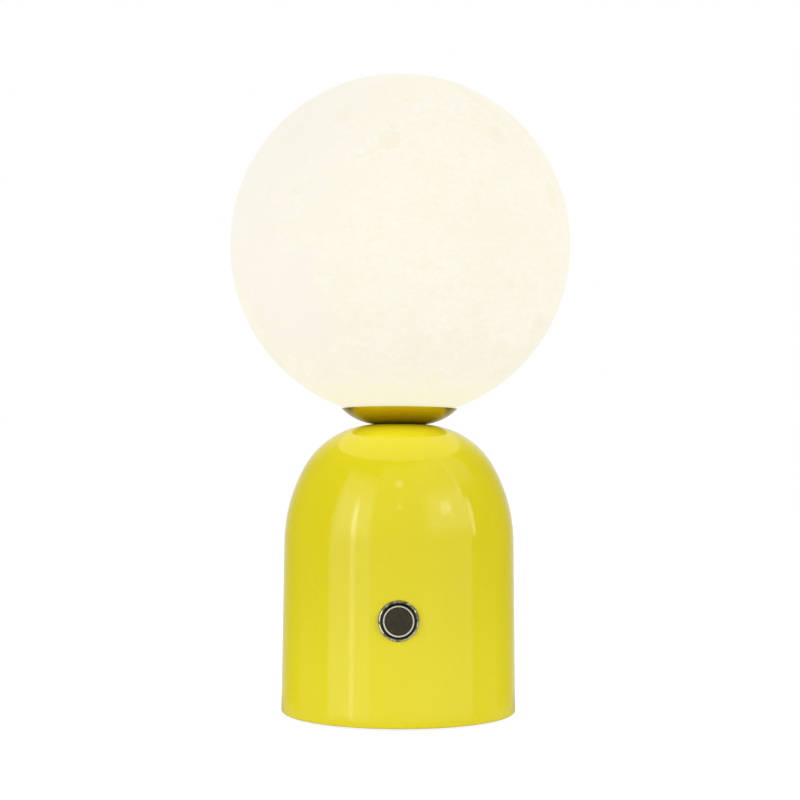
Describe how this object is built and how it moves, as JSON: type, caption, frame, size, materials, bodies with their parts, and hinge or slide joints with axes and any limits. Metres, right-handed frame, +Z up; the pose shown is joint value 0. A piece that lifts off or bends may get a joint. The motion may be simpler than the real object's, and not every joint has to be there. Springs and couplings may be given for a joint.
{
  "type": "rechargeable table lamp",
  "caption": "Table lamp with a printed moon globe on a brass cup over a glossy domed base with a front push button and a rear charging port.",
  "frame": {"origin": "on the table under the centre of the base, at the underside of the foot pad", "axes": "+Z up along the lamp's axis, -Y towards the front with the push button, +X to the right seen from the front"},
  "size_m": [0.15, 0.15, 0.2796],
  "materials": {
    "yellow_paint": "gloss",
    "cup_brass": "satin",
    "moon_print": "matt",
    "white_plastic": "satin",
    "opal_cover": "matt",
    "white_board": "satin",
    "lamp_phosphor": "matt",
    "zinc_steel": "satin",
    "bezel_chrome": "polished",
    "button_dark": "satin",
    "pad_rubber": "matt",
    "contact_brass": "satin",
    "nickel_strip": "satin",
    "spring_steel": "satin",
    "socket_steel": "satin",
    "black_plastic": "matt",
    "grey_plastic": "matt",
    "cell_wrap": "satin",
    "green_board": "satin",
    "black_parts": "satin",
    "lead_jacket": "satin"
  },
  "bodies": {
    "base": {"base_shell": "yellow_paint", "battery_cap": "grey_plastic", "battery_cap_screws": "zinc_steel", "battery_cell_left": "cell_wrap", "battery_cell_right": "cell_wrap", "battery_lead": "lead_jacket", "board_parts": "black_parts", "board_screws": "zinc_steel", "bottom_cover": "black_plastic", "chassis_screws": "zinc_steel", "chassis_tray": "grey_plastic", "contact_strip_bottom": "nickel_strip", "contact_strip_top": "nickel_strip", "control_board": "green_board", "counterweight": "zinc_steel", "cover_screws": "zinc_steel", "crown_washer": "zinc_steel", "foot_pad": "pad_rubber", "globe_fitter": "white_plastic", "holder_cup": "cup_brass", "led_board": "white_board", "led_board_screws": "zinc_steel", "led_chips": "lamp_phosphor", "led_diffuser": "opal_cover", "led_lead": "lead_jacket", "lower_lock_washer": "zinc_steel", "lower_nut": "zinc_steel", "port_frame": "black_plastic", "switch_base": "black_plastic", "switch_body": "bezel_chrome", "switch_gasket": "pad_rubber", "switch_leads": "lead_jacket", "switch_nut": "bezel_chrome", "switch_spring": "spring_steel", "switch_terminals": "contact_brass", "threaded_tube": "zinc_steel", "upper_lock_washer": "zinc_steel", "upper_nut": "zinc_steel", "usb_socket": "socket_steel", "usb_tongue": "black_plastic", "wire_connectors": "white_plastic"},
    "button": {"button_cap": "button_dark", "button_ring": "bezel_chrome", "contact_bridge": "contact_brass"},
    "globe": {"globe_shell": "moon_print", "globe_bayonet_ring": "white_plastic"}
  },
  "joints": [
    {"name": "button_press", "type": "slide", "parent": "base", "child": "button", "axis": [0, 1, 0], "range_m": [0, 0.0015], "stiffness_N_per_m": 600, "springref_m": -0.0015, "deforming": ["switch_spring"]},
    {"name": "globe_twist", "type": "hinge", "parent": "base", "child": "globe", "pos_m": [0, 0, 0.135], "axis": [0, 0, 1], "range_deg": [0, 60]}
  ]
}
